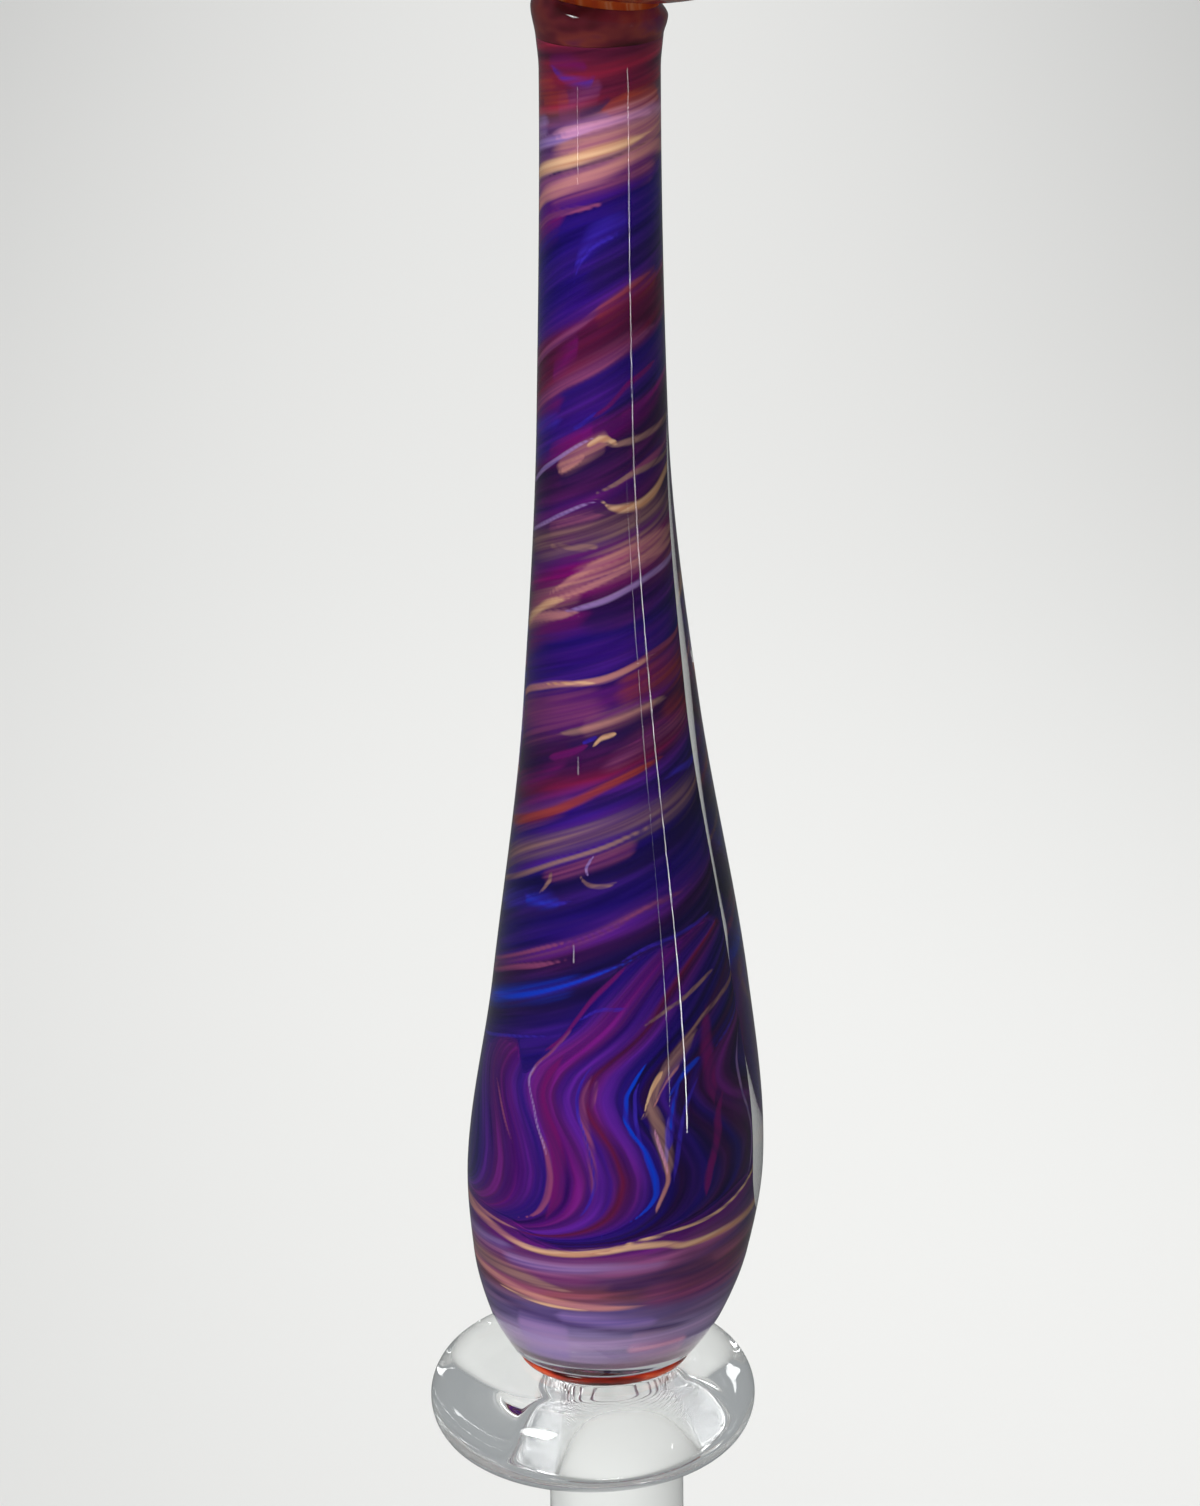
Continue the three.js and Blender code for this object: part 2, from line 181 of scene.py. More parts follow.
# Wide soft washes of glass, half see-through: glass, half width, then (degrees round, height) along the wash.
VEILS = [
    ("magenta", 0.4, (-62, 77.5), (-45, 77.8), (-28, 77.9), (-8, 77.7)),
    ("iris", 0.3, (-58, 77.9), (-48, 77.3), (-36, 77), (-12, 76.95), (0, 77.5)),
    ("brick", 0.9, (-95, 76), (-65, 76.4), (-40, 76.5)),
    ("brick", 0.7, (-80, 75.2), (-52, 75.6), (-30, 75.8)),
    ("rose", 0.8, (-55, 75), (-30, 75.6), (-10, 76.3), (6, 76.8)),
    ("navy", 0.4, (-26, 74.9), (-3, 75.4), (14, 76)),
    ("lilac", 0.9, (-120, 73), (-85, 73.9), (-58, 74.5)),
    ("brick", 0.6, (15, 75.6), (40, 75.9), (85, 75.4)),
    ("pink", 0.45, (-75, 73.4), (-40, 74), (-10, 74.5), (28, 74.9), (70, 75), (95, 74.8)),
    ("salmon", 1.4, (-75, 72.2), (-40, 72.9), (-10, 73.4), (25, 73.9), (95, 74.1)),
    ("magenta", 0.9, (-95, 67.9), (-60, 68.9), (-35, 69.4)),
    ("rose", 0.7, (-80, 69.6), (-40, 70.6), (0, 71.4), (40, 71.9), (90, 71.6)),
    ("navy", 1.6, (-30, 65), (-12, 65.9), (5, 66.5), (25, 66.9), (50, 67.2), (95, 67.3)),
    ("iris", 0.7, (-36, 65.6), (-24, 67), (-8, 68.1), (15, 68.9), (40, 69.2)),
    ("brick", 0.6, (-15, 63.4), (15, 64.4), (40, 65.1), (90, 65.6)),
    ("magenta", 0.8, (-66, 59.8), (-48, 60.7), (-36, 61.5), (-22, 62.3)),
    ("rose", 0.6, (-115, 57.4), (-75, 58.8), (-40, 60), (0, 61.1), (45, 62.3), (90, 62.9)),
    ("iris", 0.5, (-95, 56.6), (-65, 57.3), (-40, 57.8)),
    ("navy", 0.7, (-4, 57.6), (15, 58.2), (40, 58.9), (90, 59.5)),
    ("magenta", 0.8, (-100, 57.4), (-62, 58.4), (-36, 59.1)),
    ("navy", 0.6, (-14, 57.2), (8, 57.7), (30, 58.3)),
    ("magenta", 0.5, (-75, 55.4), (-45, 56.2), (-16, 57)),
    ("navy", 0.8, (-60, 53.8), (-25, 54.5), (10, 55.3), (45, 55.8)),
    ("salmon", 0.6, (-60, 54.7), (-40, 55.2), (-20, 55.9), (0, 56.5), (14, 56.8)),
    ("rose", 0.5, (-75, 50.9), (-40, 51.7), (0, 52.3)),
    ("navy", 0.4, (-34, 50.8), (-14, 51.1), (6, 51.3)),
    ("tan", 1, (-118, 49.5), (-75, 50.1), (-45, 50.8), (-10, 51.4), (30, 51.8), (75, 52.1), (115, 52)),
    ("rose", 0.9, (-40, 47.6), (0, 48.6), (40, 49.2), (110, 49.3)),
    ("magenta", 0.5, (8, 47.9), (43, 48.6), (92, 49)),
    ("salmon", 0.9, (-62, 47.2), (-25, 48.5), (10, 49.4), (45, 49.9), (115, 50)),
    ("salmon", 0.8, (-100, 45.7), (-70, 46.6), (-40, 47.5), (-5, 48.4)),
    ("magenta", 0.7, (-100, 43.8), (-60, 45.5), (-30, 46.3), (-5, 46.7)),
    ("navy", 0.7, (-40, 45.4), (-10, 45.9), (25, 46.3), (110, 46.6)),
    ("rose", 1.5, (-125, 39), (-75, 39.9), (-45, 40.5), (-10, 40.9), (15, 41.4)),
    ("brick", 1.3, (-5, 41.3), (25, 42.2), (55, 42.7), (85, 42.6), (125, 42.2)),
    ("navy", 0.7, (-45, 38.5), (-15, 39.1), (8, 39.3), (25, 40), (45, 40.6)),
    ("brick", 0.8, (45, 40.1), (85, 40.4), (125, 40)),
    ("salmon", 0.5, (-32, 39.6), (0, 40.25), (25, 40.7), (58, 41.1)),
    ("rose", 0.9, (-20, 36.9), (10, 38), (35, 38.9), (60, 39.4), (110, 39.2)),
    ("magenta", 0.6, (-118, 34.8), (-85, 35.6), (-50, 37.1), (-25, 38.4)),
    ("rose", 0.7, (-125, 32.2), (-90, 33.3), (-50, 34.7), (-15, 36.2)),
    ("navy", 0.9, (-40, 34.6), (-5, 35.6), (30, 36.3), (110, 36.8)),
    ("tan", 0.8, (-125, 29.9), (-90, 31.3), (-50, 32.6), (-15, 33.6), (20, 34.3), (60, 34.8), (110, 35.3)),
    ("iris", 0.6, (-95, 27.9), (-60, 29), (-30, 29.9)),
    ("blue", 0.4, (-76, 28.7), (-56, 29), (-34, 29.5)),
    ("rose", 0.5, (-62, 30.6), (-40, 31.2), (-20, 31.9), (2, 32.5), (28, 33.1)),
    ("rose", 0.35, (-115, 23.5), (-85, 24.7), (-50, 26.1), (-15, 27.5), (20, 29), (75, 29.9)),
    ("blue", 0.7, (-118, 21), (-75, 22.9), (-40, 24.2), (-5, 25.6)),
    ("rose", 0.5, (-60, 8.1), (-25, 8.2), (5, 8.6), (30, 8.5)),
    ("lilac", 0.4, (-70, 7.5), (-30, 7.7), (5, 7.9), (45, 7.9)),
    ("rose", 0.6, (-95, 7), (-45, 7.1), (10, 7.1)),
    ("navy", 0.5, (-5, 6.4), (15, 6.8), (35, 7.1), (75, 7)),
    ("rose", 0.9, (5, 5.7), (30, 5.9), (58, 5.7), (110, 5.7)),
    ("lilac", 0.5, (-98, 7.5), (-70, 7.9), (-44, 8.2)),
    ("tan", 0.5, (-115, 6.4), (-65, 6.6), (-20, 6.3)),
    ("navy", 0.28, (-92, 5), (-66, 4.65), (-26, 4.3), (10, 3.85), (40, 3.65), (72, 3.55)),
    ("lilac", 0.4, (-30, 4.6), (-8, 4.55), (15, 4.35), (36, 4.2)),
    ("navy", 0.9, (-142, 3), (-100, 2.6), (-64, 2.2)),
    ("lilac", 1.5, (-54, 3), (-35, 2.6), (-14, 2.4)),
    ("pink", 0.8, (12, 2.6), (34, 2.4), (58, 2.2)),
]

# Streaks drawn sideways: glass, half width, then (degrees round, height) along the streak.
STREAKS = [
    ("brick", 0.35, (-2, 75.2), (15, 75.6), (35, 75.9), (55, 75.8), (90, 75.2)),
    ("brick", 0.5, (6, 75.1), (27, 75.5), (43, 75.7), (80, 75.8)),
    ("salmon", 0.6, (-50, 72.4), (-20, 73.1), (12, 73.6), (50, 74), (100, 74)),
    ("lilac", 0.26, (-118, 72.2), (-95, 72.7), (-47, 73.6), (-18, 74.2), (6, 74.55)),
    ("pink", 0.24, (-55, 73.5), (-35, 73.9), (-13, 74.3), (8, 74.6), (28, 74.8), (50, 74.9), (78, 74.9)),
    ("cream", 0.34, (-118, 70.5), (-96, 71.15), (-60, 71.95), (-24, 72.6), (-2, 73), (18, 73.25),
        (40, 73.5), (66, 73.7)),
    ("navy", 0.13, (-75, 71.1), (-50, 71.7), (-24, 72.15), (-2, 72.5), (18, 72.75), (40, 73), (66, 73.25)),
    ("salmon", 0.44, (-112, 68.9), (-75, 70.2), (-54, 70.7), (-25, 71.35), (0, 71.8), (25, 72.3),
        (42, 72.6), (73, 72.85), (105, 72.7)),
    ("rose", 0.16, (-95, 68.1), (-70, 68.9), (-50, 69.35), (-25, 69.75), (5, 70.1)),
    ("iris", 0.13, (-32, 65.3), (-27, 66.2), (-20, 66.9), (-10, 67.5), (0, 67.9), (22, 68.4)),
    ("rose", 0.22, (-105, 60.2), (-75, 61.3), (-50, 62.2), (-25, 63.1), (0, 64.1), (25, 64.9), (40, 65.4),
        (75, 65.9)),
    ("rose", 0.26, (-118, 57), (-85, 58.3), (-60, 59.1), (-40, 59.8), (-20, 60.3), (0, 60.85), (20, 61.5),
        (45, 62.2), (85, 62.8)),
    ("magenta", 0.18, (-14, 57.8), (5, 58.4), (20, 59.1), (33, 59.7), (50, 60.1), (80, 60.7)),
    ("iris", 0.13, (-36, 57.1), (-25, 57.4), (-15, 57.8), (-3, 58.3)),
    ("lilac", 0.13, (-105, 53.5), (-80, 54.4), (-62, 55), (-40, 55.8), (-20, 56.45), (0, 56.95)),
    ("salmon", 0.2, (-52, 54.5), (-40, 54.9), (-28, 55.35), (-16, 55.8)),
    ("cream", 0.16, (-18, 56.2), (-8, 56.5), (0, 56.7), (7, 56.7), (14, 56.5), (22, 56.4)),
    ("tan", 0.2, (-4, 56.6), (12, 56.35), (30, 56.4), (50, 56.5), (75, 56.7), (105, 56.9)),
    ("tan", 0.16, (-10, 53.45), (15, 54), (34, 54.45), (60, 54.7), (105, 54.85)),
    ("rose", 0.22, (12, 53.7), (35, 54.5), (60, 55), (105, 55.4)),
    ("lilac", 0.13, (-105, 50.5), (-75, 51.3), (-48, 52.1), (-14, 52.95), (2, 53.15)),
    ("cream", 0.28, (-6, 53.2), (2, 53.05), (8, 52.75), (22, 52.6), (42, 52.65), (68, 53.05), (105, 53.9)),
    ("rose", 0.2, (-64, 51.1), (-40, 51.7), (-20, 52.05), (6, 52.3)),
    ("tan", 0.13, (-70, 50), (-35, 50.3), (-15, 50.4), (2, 50.6)),
    ("salmon", 0.3, (-72, 47), (-45, 48), (-25, 48.75), (-10, 49.3), (10, 49.75), (30, 50.1), (50, 50.3),
        (75, 50.5), (118, 50.3)),
    ("salmon", 0.2, (-82, 46.4), (-46, 47.3), (-19, 48), (4, 48.6), (29, 49.2), (61, 49.6), (108, 49.7)),
    ("cream", 0.3, (-122, 44.7), (-90, 45.8), (-70, 46.55), (-55, 46.95), (-35, 47.35)),
    ("salmon", 0.28, (-120, 44.6), (-95, 45.35), (-70, 45.9), (-46, 46.3), (-22, 46.7)),
    ("lilac", 0.18, (-56, 46.3), (-40, 46.55), (-19, 46.95), (4, 47.4), (29, 47.95), (61, 48.5),
        (108, 48.8)),
    ("salmon", 0.22, (-125, 40.2), (-100, 41), (-75, 41.6), (-55, 42.05), (-35, 42.35), (-12, 42.6)),
    ("salmon", 0.18, (-50, 42.1), (-30, 42.4), (-8, 42.65), (10, 42.95), (28, 43.35), (52, 43.8)),
    ("cream", 0.09, (-75, 41.7), (-45, 42.25), (-20, 42.5), (-3, 42.6)),
    ("rose", 0.14, (-10, 42.7), (25, 43.4), (54, 44), (98, 44.3)),
    ("tan", 0.26, (-50, 39.2), (-20, 39.8), (0, 40.3), (20, 40.7), (40, 41), (70, 41.1)),
    ("cream", 0.14, (-14, 38.75), (-10, 39), (-5, 39.3), (2, 39.45), (10, 39.6)),
    ("magenta", 0.2, (14, 38.6), (35, 39.2), (59, 39.75), (105, 39.8)),
    ("iris", 0.12, (-24, 38.9), (-16, 39.15), (-8, 39.4)),
    ("magenta", 0.22, (-60, 37.6), (-30, 38.4), (-16, 38.9)),
    ("brick", 0.28, (-100, 32.9), (-75, 33.7), (-50, 34.6), (-30, 35.4), (-10, 36.15), (5, 36.65),
        (20, 37.1), (36, 37.45), (58, 37.8)),
    ("iris", 0.2, (48, 36.3), (70, 36.6), (92, 36.5)),
    ("tan", 0.18, (-125, 28.3), (-112, 28.8), (-72, 30.5), (-43, 31.7), (-22, 32.4), (0, 33.05),
        (17, 33.55), (40, 34)),
    ("tan", 0.14, (-25, 31.3), (-20.4, 30.87), (-16.5, 30.67), (-9.8, 30.59), (-2.4, 30.66), (6, 30.9)),
    ("iris", 0.16, (-76, 29), (-62, 28.95), (-48, 29.1), (-28, 29.6)),
    ("rose", 0.14, (-40, 26.6), (-28, 27.1), (-10, 27.8), (4, 28.3), (15, 28.8), (27, 29.2), (70, 29.8)),
    ("rose", 0.14, (-122, 22.8), (-100, 24.1), (-75, 25.3), (-50, 26.4), (-20, 27.5)),
    ("rose", 0.18, (-112, 23), (-75, 24.6), (-60, 25.1), (-30, 26.1)),
    ("blue", 0.22, (-120, 20.8), (-100, 21.9), (-75, 22.8), (-50, 23.75), (-25, 24.8), (0, 25.8),
        (20, 26.5)),
    ("iris", 0.11, (0, 25.9), (25, 26.9), (45, 27.2), (90, 27.6)),
    ("iris", 0.1, (-112, 18.8), (-75, 20.3), (-50, 21.1), (-28, 21.7)),
    ("magenta", 0.18, (-44, 20.3), (-32, 21.3), (-22, 22.7), (-12, 24), (0, 25.1), (12, 26.1)),
    ("iris", 0.1, (-22, 22.6), (-5, 23.4), (14, 23.4)),
    ("tan", 0.12, (16, 22.15), (28, 22.7), (36, 23.05), (50, 23.5), (62, 23.9), (85, 24.4)),
    ("tan", 0.16, (27, 19.3), (37, 20.2), (44, 20.75), (54, 21.45), (64, 22), (85, 22.5), (112, 22.8)),
    ("tan", 0.5, (18.5, 16.8), (23, 17.75), (27, 18.55), (31, 19.15), (37, 19.75), (45, 20.45), (56, 21.25)),
    ("salmon", 0.14, (23, 17.2), (28, 18.1), (33, 18.85), (38, 19.3), (43, 19.7)),
    ("cream", 0.2, (17.5, 16.8), (20, 17.6), (22.5, 18.3), (26, 18.9), (31, 19.45)),
    ("blue", 0.2, (32, 17.7), (38, 18.4), (44, 19), (50, 19.35), (58, 19.65)),
    ("iris", 0.13, (65, 19.45), (76, 19.9), (88, 20.25), (112, 20.9)),
    ("salmon", 0.1, (-115, 9.25), (-75, 9.4), (-55, 9.4), (-39, 9.35)),
    ("salmon", 0.24, (-115, 9), (-80, 9), (-65, 8.85), (-50, 8.65), (-30, 8.55)),
    ("cream", 0.2, (-72, 8.7), (-35, 8.55), (-20, 8.65), (0, 8.95), (15, 9.2), (30, 9.1), (45, 8.75),
        (60, 8.7), (105, 8.7)),
    ("cream", 0.09, (0, 9.1), (20, 9.6), (40, 9.8), (58, 9.9), (95, 10.4)),
    ("rose", 0.18, (-100, 7), (-70, 7.5), (-45, 7.75)),
    ("tan", 0.26, (-115, 6.3), (-80, 6.6), (-55, 6.6), (-30, 6.4), (-10, 6.15)),
    ("salmon", 0.24, (-115, 5.95), (-75, 5.85), (-50, 5.7), (-30, 5.5), (0, 5.35), (28, 5.3)),
    ("cream", 0.09, (-65, 5.4), (-30, 5.2), (0, 5.1)),
]

# Streaks drawn upright in the bulb: glass, half width in degrees, then (height, degrees round) up the streak.
FLICKS = [
    ("rose", 1.8, (9.9, -58), (10.5, -41), (11, -36), (12, -32), (13, -31), (14, -32.5), (15, -36),
        (16, -42)),
    ("lilac", 1, (14, -32.5), (15, -36.5), (16, -41.5), (17, -45.5), (17.8, -49), (18.5, -51),
        (19.2, -48.5), (20, -42)),
    ("rose", 1.2, (18.4, -51), (19.4, -47), (20.4, -38), (21.2, -31.5), (22.3, -23.6)),
    ("magenta", 4.2, (10.6, -32), (12, -27.5), (14, -28), (15, -30), (16, -33), (17, -37), (18, -39),
        (19, -37), (20.6, -29)),
    ("iris", 1, (10.2, -30), (11, -14), (12, -8.5), (13, -6.5), (14, -8), (15, -10.5), (16, -14),
        (17, -17.5), (18, -19), (18.8, -17.5), (19.5, -14.5), (20.4, -8)),
    ("rose", 2.4, (12, -7.5), (13, -7), (14.5, -9), (16, -12.5), (17.5, -15.5), (18.5, -14.5), (19.5, -11)),
    ("rose", 1.5, (12.4, -6.5), (13.5, -7.3), (14.8, -10)),
    ("rose", 1.3, (17.4, -10), (18.4, -9), (19.3, -7.8)),
    ("rose", 1.1, (14.2, -56), (15.5, -66), (16.5, -73), (17.8, -83)),
    ("blue", 1.3, (10, -2), (10.5, 8), (11, 17), (11.6, 23), (12.3, 26.6), (13, 26), (14, 23), (15, 19),
        (16, 12), (17, 8.5), (18, 8.5), (19, 13), (20, 20), (20.6, 27)),
    ("blue", 1.5, (10.9, 15), (11.6, 23), (12.3, 26), (13, 25), (14, 22), (15, 18)),
    ("iris", 1, (13.2, 23), (14.5, 19.5), (15.3, 17), (16.2, 15), (17, 13.8), (18.2, 13.6), (19.2, 17)),
    ("lilac", 1, (13.8, 31.6), (14.6, 31.4), (15.4, 32), (16.2, 32.8), (17, 34.2)),
    ("iris", 2.2, (14.6, 32.6), (15.5, 33.2), (16.5, 34.4), (17.6, 36.6), (18.4, 40)),
    ("blue", 0.9, (15.6, 33.6), (16.5, 34.6), (17.6, 36.8), (18.5, 40.5)),
    ("iris", 1.3, (12.7, 35.6), (13.5, 36.7), (14.6, 38.5), (15.8, 40.5), (17.05, 44.3), (17.7, 48.2),
        (18.9, 57)),
    ("salmon", 1.3, (10.9, 25.4), (11.5, 27.3), (12.3, 30.5), (12.95, 32.3), (13.7, 31.4), (14.6, 28.4)),
    ("pink", 0.9, (13.1, 32.2), (13.9, 30.8), (14.7, 28.4), (15.5, 26.2), (16.3, 24.2)),
    ("tan", 3.4, (13, 32.4), (13.8, 32), (14.6, 30.6), (15.4, 28.8), (16.2, 26.8), (17.2, 24), (18, 22)),
    ("magenta", 5, (16.6, 65.4), (18, 64.7), (19.2, 64.4), (20.1, 63.2), (21.3, 65), (22.4, 67)),
    ("magenta", 3, (11.2, 57), (12.6, 59), (13.5, 63), (14.9, 67), (15.8, 68), (17.1, 75)),
    ("tan", 1.3, (29.5, -58), (30, -52.7), (30.6, -48.3), (30.85, -48), (31.05, -53)),
    ("lilac", 0.9, (31, -15.6), (31.3, -17.4), (31.6, -18.2), (31.95, -16), (32.3, -13.5), (32.5, -9)),
    ("lilac", 1.6, (10.2, 92), (11.4, 108), (12.8, 112), (14.4, 106), (16, 98), (17.8, 95), (19.6, 106)),
    ("blue", 1.8, (10.4, 128), (11.6, 143), (13, 146), (14.6, 139), (16.2, 131), (18, 129), (19.8, 141)),
    ("rose", 2.6, (10.2, 163), (11.4, 178), (12.8, 182), (14.4, 175), (16, 166), (17.6, 163), (19.2, 174)),
    ("tan", 1.8, (10.4, 202), (11.6, 217), (13, 220), (14.6, 212), (16.2, 203), (17.8, 200), (19.2, 212)),
    ("magenta", 3.4, (10.6, 228), (12, 240), (13.6, 240), (15.2, 232), (17, 224), (18.8, 229)),
]

# Slope of the swirl's lines, in millimetres a degree, against height, and how they bend over to the right.
SWIRL_SLOPE = [
    (5, 0.004), (10, 0.012), (20, 0.035), (26, 0.036), (34, 0.027), (44, 0.018), (50, 0.018),
    (57, 0.026), (64, 0.028), (72, 0.014), (79, 0.010),
]
SWIRL_BEND = 0.0015
# Degrees round from which the lines level out towards the back.
BACK_START = 115
# Degrees round from which the flames grow wider, and how slowly.
FLAME_EASE_START = 30
FLAME_EASE = 60
# Soft edges of the flames, in millimetres.
FLAME_FOOT_EDGE = (-0.3, 0.3)
FLAME_TOP_EDGE = (-0.15, 0.25)

# Reach of the streaks, in half widths: the most that counts, and how much wider than given they are drawn.
FAR = 4.0
WIDENING = 1.35
# How streaks end: the share of their width that is left, and a fade from one place to another.
END_SHARE = 0.3
END_FADE = 0.9
FADE_START = 0.7
FADE_END = 1.1
# The reach of a veil starts at its middle and grows slower, so that the ground shows through it.
VEIL_MIDDLE = 0.58
VEIL_RATE = 0.5
# A streak that ends past SIDE degrees goes on round the back, so far at most and short of meeting itself.
SIDE = 90
LONGEST_BACK = 75
WHOLE_ROUND = 350

# Strands of darker and paler glass by which the ground is multiplied, and their gain.
STRANDS = [(0.30, "#5a5080"), (0.46, "#968fa8"), (0.55, "#ac9ca6"), (0.70, "#e8c8cc")]
STRAND_GAIN = 2.3
# How much of the fine hairs goes into the frayed edges of the streaks.
HAIR_SHARE = 0.32
# How far the bands wander off their place.
WANDER_MM = 2.2
WANDER_DEGREES = 14
# Degrees round the bulb that count as one millimetre across the upright lines.
DEGREES_PER_MM = 9
# Middle of the stem, from which painted light brightens the core's colour more and more to both ends.
PAINTED_LIGHT_MIDDLE = 36.0

# Tones of the cap's arms and of the welds, by the value of their noise.
CAP_TONES = [
    (0.30, "#35123f"), (0.38, "#5a1630"), (0.45, "#93391f"), (0.51, "#b5602f"), (0.56, "#d3a778"),
    (0.60, "#b05329"), (0.67, "#7d2a1f"), (0.74, "#431542"),
]
RED_TONES = [(0.34, "#300806"), (0.46, "#6c180c"), (0.56, "#9e2c16"), (0.66, "#bc4820")]
WINE_TONES = [(0.32, "#360e13"), (0.44, "#551823"), (0.55, "#6c2a27"), (0.68, "#521838")]

# Lamps: place, point that it faces, width, height, watts, and the degrees over which it spreads.
# Three wide ones light the object and the floor behind it. The strips draw the long thin highlights.
MIDDLE = (0, 0, 45)
LAMPS = {
    "key": ((-420, -420, 520), MIDDLE, 300, 300, 0.36, 26),
    "fill": ((220, -640, 300), MIDDLE, 300, 300, 0.17, 26),
    "background": ((0, 780, 600), (0, 780, ROD_TIP), 120, 1200, 0.92, 40),
    "strip": ((360, -260, -35), MIDDLE, 6, 100, 0.002, 40),
    "short strip": ((300, -360, -25), (0, 0, 40), 5, 70, 0.00002, 9),
    "left strip": ((-307, -329, -23), (0, 0, 60), 6, 5, 0.0008, 180),
}
# Light turns many times inside the disc and the long clear rod before it leaves.
LIGHT_TURNS = 1024


def linear(code):
    """sRGB hex to linear RGBA: each channel is c / 12.92, or ((c + 0.055) / 1.055) to the power 2.4."""
    channel = np.array([int(code[i:i + 2], 16) for i in (1, 3, 5)]) / 255
    value = np.where(channel <= 0.04045, channel / 12.92, ((channel + 0.055) / 1.055) ** 2.4)
    return (*value.tolist(), 1.0)


def curve(stations):
    """Smooth curve through stations: cubic pieces, whose slope at a station is the weighted harmonic mean of
    those to both sides, or nothing at a peak or a dip."""
    x, y = np.array(stations, float).T
    gap = np.diff(x)
    slope = np.diff(y) / gap
    tangent = np.concatenate([slope[:1], np.zeros(len(x) - 2), slope[-1:]])
    before, after = slope[:-1], slope[1:]
    same = before * after > 0
    weight_a, weight_b = 2 * gap[1:] + gap[:-1], gap[1:] + 2 * gap[:-1]
    safe_a, safe_b = np.where(same, before, 1), np.where(same, after, 1)
    mean = (weight_a + weight_b) / (weight_a / safe_a + weight_b / safe_b)
    tangent[1:-1] = np.where(same, mean, 0)

    def value(at):
        at = np.clip(at, x[0], x[-1])
        i = np.clip(np.searchsorted(x, at) - 1, 0, len(gap) - 1)
        s = (at - x[i]) / gap[i]
        rise = s * s * (3 - 2 * s)
        leave = s * (1 - s) ** 2 * gap[i] * tangent[i]
        arrive = s * s * (s - 1) * gap[i] * tangent[i + 1]
        return y[i] * (1 - rise) + y[i + 1] * rise + leave + arrive

    return value


stem_radius, stem_wall, stem_shift = map(curve, (STEM_RADIUS, STEM_WALL, STEM_SHIFT))
core_lean, swirl_slope = map(curve, (CORE_LEAN, SWIRL_SLOPE))
flame_bend, flame_foot, flame_top = map(curve, (FLAME_BEND, FLAME_FOOT, FLAME_TOP))
# The collar's curve runs on from the stem's last station but one, with heights counted from the lip.
(throat, throat_radius), (lip, lip_radius) = STEM_RADIUS[-2:]
collar_radius = curve([
    (throat - lip, throat_radius), (0, lip_radius), (COLLAR_RISE, COLLAR_RADIUS), (NECK_HEIGHT, STUB_RADIUS),
])


def smoothstep(value, low, high):
    """0 below low, 1 above high, and a smooth cubic between."""
    s = np.clip((value - low) / (high - low), 0, 1)
    return s * s * (3 - 2 * s)


def arc(centre, height, radius, start, end, count, rise=None):
    """Points on an arc: centre plus radius times cosine, height plus rise times sine, from start to end."""
    angle = np.linspace(start, end, count)
    return centre + radius * np.cos(angle), height + (radius if rise is None else rise) * np.sin(angle)


def evenly(columns):
    """Angles of the columns of a ring, evenly round from the front."""
    return np.linspace(0, 2 * np.pi, columns, endpoint=False)


def circles(radius, height, shift, angle):
    """Points on level circles, a row to each: X is the shift plus radius times the sine of the angle from the
    front, Y is minus radius times its cosine, and Z is the height."""
    x = shift + radius * np.sin(angle)
    y = -radius * np.cos(angle)
    return np.stack([x, y, height + 0 * angle], -1).reshape(-1, 3)


def smooth_object(name, points, faces):
    """Smooth-shaded object of points, in millimetres, and faces, linked to the scene."""
    mesh = bpy.data.meshes.new(name)
    mesh.from_pydata((points * MM).tolist(), [], faces)
    mesh.polygons.foreach_set("use_smooth", np.ones(len(mesh.polygons), bool))
    made = bpy.data.objects.new(name, mesh)
    scene.collection.objects.link(made)
    return made


def ring_solid(name, radius, height, angle, shift=0.0, tilt=0.0, base=0.0):
    """Closed solid of rings. Ring k is a circle of radius[k] at height[k], its middle moved in X by shift[k].
    The first and last rings are the two poles. All is then turned by tilt about Y and lifted by base.
    Returns the object, and each vertex's angle from the front, height and row."""
    columns = len(angle)
    shift = np.broadcast_to(shift, len(radius))
    inner = [np.asarray(values, float)[1:-1, None] for values in (radius, height, shift)]
    rows = len(inner[0])
    ends = np.array([(shift[0], 0, height[0]), (shift[-1], 0, height[-1])], float)
    flat = np.concatenate([circles(*inner, angle), ends])
    points = flat.copy()
    points[:, 0] = flat[:, 0] * np.cos(tilt) + flat[:, 2] * np.sin(tilt)
    points[:, 2] = flat[:, 2] * np.cos(tilt) - flat[:, 0] * np.sin(tilt) + base
    here = np.arange(rows * columns).reshape(rows, columns)
    right = np.roll(here, -1, axis=1)
    quads = np.stack([here[:-1], right[:-1], right[1:], here[1:]], -1).reshape(-1, 4)
    low, high = rows * columns, rows * columns + 1
    under = np.stack([np.full(columns, low), right[0], here[0]], -1)
    over = np.stack([np.full(columns, high), here[-1], right[-1]], -1)
    made = smooth_object(name, points, quads.tolist() + under.tolist() + over.tolist())
    signed = np.degrees((angle + np.pi) % (2 * np.pi) - np.pi)
    around = np.concatenate([np.tile(signed, rows), [0, 0]])
    row = np.concatenate([np.repeat(np.arange(1, rows + 1), columns), [0, rows + 1]])
    return made, around, flat[:, 2], row


def mark(made, name, values):
    """Stores one number for each vertex under a name that a material can read."""
    layer = made.data.attributes.new(name, "FLOAT", "POINT")
    layer.data.foreach_set("value", np.asarray(values, np.float32))


